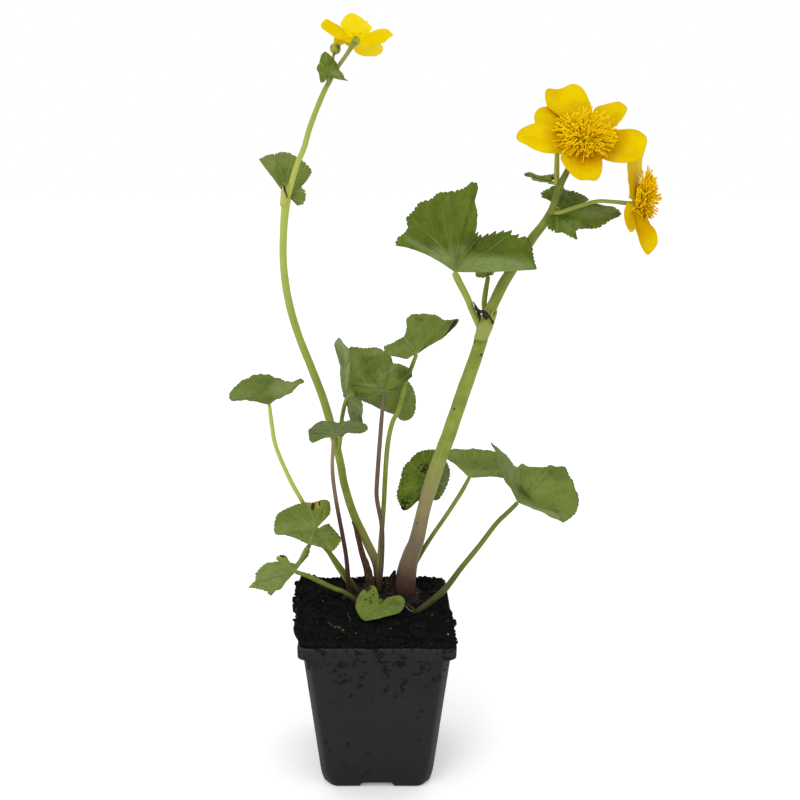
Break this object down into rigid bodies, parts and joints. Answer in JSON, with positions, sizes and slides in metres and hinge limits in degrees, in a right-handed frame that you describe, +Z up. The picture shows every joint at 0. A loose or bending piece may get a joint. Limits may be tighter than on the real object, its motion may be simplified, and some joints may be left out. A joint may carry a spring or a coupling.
{
  "type": "marsh marigold in a pot",
  "caption": "Flowering marsh marigold with yellow blooms, long-stalked round toothed leaves and leaning stems, in a square tapered black nursery pot of dark compost.",
  "frame": {"origin": "on the ground, under the middle of the whole plant's spread; the pot's middle is at x -0.022, y 0.0082", "axes": "+Z up along the plant's height, +X to the viewer's right in the picture, -Y towards the viewer"},
  "size_m": [0.2218, 0.1344, 0.444],
  "materials": {
    "pot": "matte black recycled plastic",
    "soil": "dark moist peaty compost",
    "crown": "brown fibrous rootstock",
    "dead": "dry red-brown sheath",
    "leaf": "soft glossy green leaf, pale below",
    "stem": "smooth juicy green stem, maroon at the foot",
    "petal": "glossy deep yellow",
    "stamens": "golden yellow filaments and anthers"
  },
  "bodies": {
    "root": {"pot": "pot", "soil": "soil", "crown": "crown", "dead_stub": "dead", "old_sheath": "dead", "left_stem": "stem", "left_upper_stem": "stem", "left_flower_stalk": "stem", "right_stem": "stem", "right_upper_stem": "stem", "facing_flower_stalk": "stem", "side_flower_stalk": "stem", "left_bud": "stem", "right_bud": "stem", "high_leaf": "leaf", "collar_leaf": "leaf", "narrow_leaf": "leaf", "left_node_leaf": "leaf", "bract_leaf": "leaf", "left_cup_leaf": "leaf", "edge_on_leaf": "leaf", "centre_leaf": "leaf", "strip_leaf": "leaf", "tall_leaf": "leaf", "spotted_leaf": "leaf", "right_inner_leaf": "leaf", "right_outer_leaf": "leaf", "low_left_leaf": "leaf", "lowest_left_leaf": "leaf", "soil_leaf": "leaf", "shoot_leaf": "leaf", "facing_flower_petal_1": "petal", "facing_flower_petal_2": "petal", "facing_flower_petal_3": "petal", "facing_flower_petal_4": "petal", "facing_flower_petal_5": "petal", "facing_flower_petal_6": "petal", "side_flower_petal_1": "petal", "side_flower_petal_2": "petal", "side_flower_petal_3": "petal", "side_flower_petal_4": "petal", "side_flower_petal_5": "petal", "left_flower_petal_1": "petal", "left_flower_petal_2": "petal", "left_flower_petal_3": "petal", "left_flower_petal_4": "petal", "left_flower_petal_5": "petal", "facing_flower_stamens": "stamens", "side_flower_stamens": "stamens", "left_flower_stamens": "stamens"}
  },
  "joints": []
}
